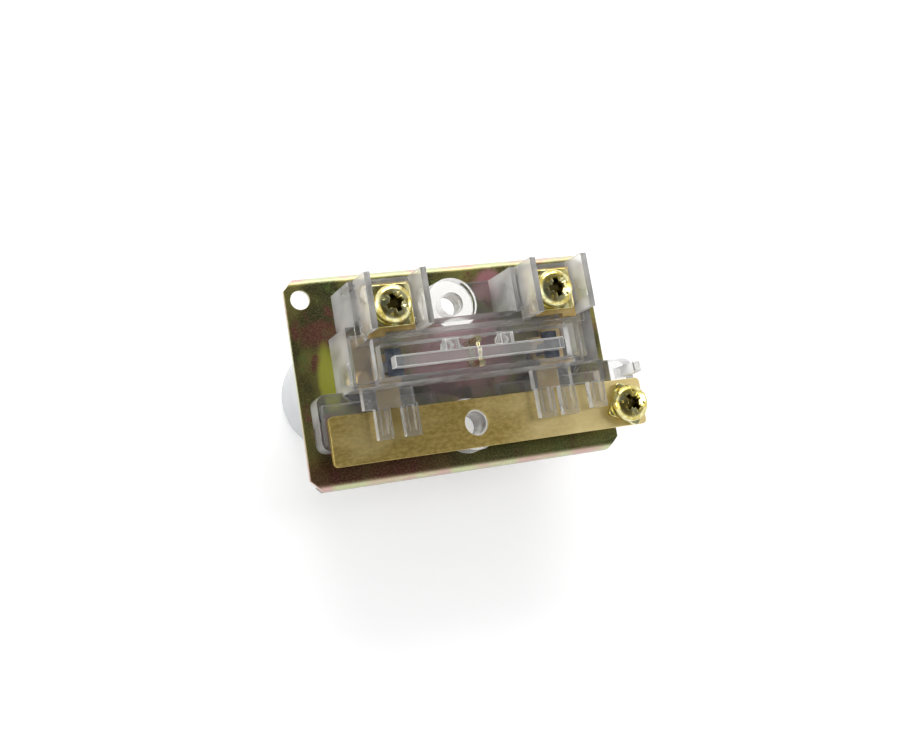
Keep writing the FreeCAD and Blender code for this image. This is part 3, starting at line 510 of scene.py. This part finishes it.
def passivated(name, centre=None, top=0.0):
    """Greenish gold plating; where a centre is given, that head's recess gets painted shade."""
    shade = Shade(name, Metallic=1.0)
    haze = shade.noise(1.6, 3.0)
    fine = shade.noise(0.25, 2.0)
    color = shade.mix(haze.between(0.38, 0.62), (0.54, 0.44, 0.12), (0.80, 0.76, 0.42))
    color = shade.mix(haze.between(0.58, 0.72) * 0.6, color, (0.42, 0.55, 0.25))
    if centre:
        away = ((shade.x - centre[0]) ** 2.0 + (shade.y - centre[1]) ** 2.0) ** 0.5 * 1000
        sunk = (top - shade.z) * 1000 - away * 0.12
        recess_painted_shade = sunk.between(0.12, 0.75) * away.between(2.6, 2.2)
        # Painted shade: the cross recess darkens with its depth.
        color = shade.mix(recess_painted_shade * 0.9, color, (0.10, 0.075, 0.012))
    return shade.finish(color, 0.09 + fine * 0.12, fine, 0.006)


washer_gold = passivated("gold_passivated_washer")
for name, degrees in TURNS.items():
    node_name, washer = name + "_terminal_screw", name + "_terminal_washer"
    low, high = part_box(node_name)
    centre = ((low[0] + high[0]) / 2, (low[1] + high[1]) / 2)
    under, bottom = high[2] / MM - HEAD_HIGH, low[2] / MM
    head = pan_head(node_name, centre, under, math.radians(degrees))
    shank = rolled_thread(node_name, centre, under, bottom)
    gold = passivated("gold_passivated_%s_screw" % name, centre, high[2])
    stand_in(head, node_name, "screw_zinc", gold)
    join_in(shank, node_name, "screw_zinc", gold)
    stand_in(softened(washer, 0.16, 3), washer, "screw_zinc", washer_gold)


# ---------------------------------------------------------------------------------------------
# Fuse ways under the plate: a moulded rubber gasket and a black phenolic socket, pressed from
# powder with a dull flow skin.

rubber = Shade("gasket_rubber")
bloom = rubber.noise(1.4, 3.0)
rubber.finish(rubber.mix(bloom, (0.012, 0.012, 0.012), (0.035, 0.035, 0.036)), 0.6 + bloom * 0.2,
              bloom, 0.02)
phenolic = Shade("black_phenolic")
flow = phenolic.noise(2.4, 3.0)
phenolic.finish(phenolic.mix(flow, (0.012, 0.012, 0.014), (0.03, 0.03, 0.034)),
                0.28 + flow * 0.2, flow, 0.02)
for side in ("left", "right"):
    dress(side + "_panel_gasket", rubber.material)
    dress(side + "_fuse_socket", phenolic.material)


# ---------------------------------------------------------------------------------------------
# Screw caps.  White thermoplastic with a semi-gloss skin, moulded with a coin slot in the front and
# screwed over the socket's barrel.  The white is set to a mid grey, painted shade for the caps'
# place under the plate.

cap = Shade("white_cap_plastic", Coat_Weight=0.25, Coat_Roughness=0.12)
flow = cap.noise(7.0, 2.0)
speck = cap.noise(0.5, 2.0)
# Painted shade: the white plastic is set to a mid grey.
cap.finish(cap.mix(flow.between(0.3, 0.7), (0.32, 0.332, 0.344), (0.36, 0.37, 0.38)),
           0.24 + speck * 0.12, speck, 0.006)
for side in ("left", "right"):
    stand_in(softened(side + "_fuse_cap", 0.10, 2, 28.0), side + "_fuse_cap", "white_cap",
             cap.material)


# ---------------------------------------------------------------------------------------------
# Cartridge fuses.  A drawn glass tube with nickel-plated brass ferrules cemented on, and a tinned
# copper wire soldered between them.

nickel = Shade("nickel_ferrule", Metallic=1.0)
fine = nickel.noise(0.4, 2.0, (1.0, 1.0, 0.3))
nickel.finish(nickel.mix(fine, (0.55, 0.53, 0.49), (0.74, 0.72, 0.68)), 0.16 + fine * 0.18)
tube = Shade("fuse_glass", IOR=1.5, Transmission_Weight=1.0)
flow = tube.noise(2.0, 1.0)
tube.finish(tube.mix(flow, (0.92, 0.95, 0.94), (0.97, 0.98, 0.98)), 0.02 + flow * 0.03)
tinned = Shade("tinned_element", Metallic=1.0)
fine = tinned.noise(0.2, 1.0)
tinned.finish(tinned.mix(fine, (0.45, 0.45, 0.44), (0.66, 0.66, 0.64)), 0.25 + fine * 0.2)
for side in ("left", "right"):
    dress(side + "_fuse_tube", tube.material)
    dress(side + "_fuse_outer_ferrule", nickel.material)
    dress(side + "_fuse_tip_ferrule", nickel.material)
    dress(side + "_fuse_element", tinned.material)


# ---------------------------------------------------------------------------------------------
# White table.  A broad matt sheet just under the caps, faintly lit so that it stays white.

FLOOR_Z, REACH, CELLS = -0.01752, 2.5, 12
work = bmesh.new()
grid = [[work.verts.new((REACH * (2 * i / CELLS - 1), REACH * (2 * j / CELLS - 1), FLOOR_Z))
         for j in range(CELLS + 1)] for i in range(CELLS + 1)]
for i in range(CELLS):
    for j in range(CELLS):
        work.faces.new((grid[i][j], grid[i + 1][j], grid[i + 1][j + 1], grid[i][j + 1]))
table = new_piece("table", work)
paper = Shade("white_table", Specular_IOR_Level=0.2, Emission_Color=(1.0, 1.0, 1.0),
              Emission_Strength=0.12)
tooth = paper.noise(0.8, 2.0)
paper.finish(paper.mix(tooth, (0.93, 0.93, 0.93), (0.97, 0.97, 0.97)), 0.7 + tooth * 0.1)
table.data.materials.append(paper.material)


# ---------------------------------------------------------------------------------------------
# Studio.  A bright ring of walls under a dark ceiling, which gives metal its contrast, and four
# softboxes round the table.

HORIZON, WALL_TOP = (1.25, 1.25, 1.24, 1.0), (0.34, 0.345, 0.36, 1.0)
CEILING = (0.10, 0.10, 0.105, 1.0)
world = bpy.data.worlds.new("studio")
bpy.context.scene.world = world
world.use_nodes = True
sky = Graph(world.node_tree)
around = sky.node("ShaderNodeTexCoord", output="Generated")
upward = sky.node("ShaderNodeSeparateXYZ", {}, {"Vector": around}, output="Z")
shell = sky.node("ShaderNodeValToRGB", {}, {"Fac": upward})
stops = shell.socket.node.color_ramp.elements
stops[0].position, stops[0].color = 0.50, HORIZON
stops[1].position, stops[1].color = 0.97, CEILING
stops.new(0.80).color = WALL_TOP
background = sky.tree.nodes["Background"]
sky.feed(background.inputs["Color"], shell)
sky.feed(background.inputs["Strength"], 1.0)

TARGET = Vector((0.0, 0.0, 0.002))


def softbox(name, place, wide, tall, power, color=(1.0, 1.0, 1.0)):
    """An oblong lamp that faces the object."""
    lamp = bpy.data.lights.new(name, "AREA")
    lamp.shape, lamp.size, lamp.size_y = "RECTANGLE", wide, tall
    lamp.energy, lamp.color = power, color
    holder = bpy.data.objects.new(name, lamp)
    holder.location = place
    holder.rotation_euler = (TARGET - Vector(place)).to_track_quat("-Z", "Y").to_euler()
    bpy.context.scene.collection.objects.link(holder)


softbox("key_softbox", (0.05, 0.42, 0.22), 0.45, 0.20, 1.7)
softbox("fill_softbox", (-0.42, -0.05, 0.34), 0.25, 0.4, 0.45, (0.97, 0.985, 1.0))
softbox("low_side_softbox", (-0.45, 0.10, 0.07), 0.30, 0.12, 0.8)
softbox("rim_softbox", (0.40, 0.05, 0.25), 0.12, 0.35, 0.5, (1.0, 0.985, 0.96))


# ---------------------------------------------------------------------------------------------
# Camera.  Above the lower left of the plate, tilted so that the plate's long side climbs to the
# right.

camera_data = bpy.data.cameras.new("camera")
camera_data.sensor_width = 36.0
camera_data.lens = 50.76
camera_data.shift_x = -0.0089
camera_data.shift_y = -0.075
camera_data.clip_start, camera_data.clip_end = 0.01, 10.0
camera = bpy.data.objects.new("camera", camera_data)
back = Vector((-0.369, -0.170, 0.914)).normalized()
right = Vector((0.925, -0.164, 0.343))
right = (right - back * right.dot(back)).normalized()
up = back.cross(right)
aim = Matrix((right, up, back)).transposed().to_4x4()
camera.matrix_world = Matrix.Translation((-0.0842, -0.0279, 0.2146)) @ aim
bpy.context.scene.collection.objects.link(camera)
bpy.context.scene.camera = camera
bpy.context.scene.view_settings.view_transform = "Standard"
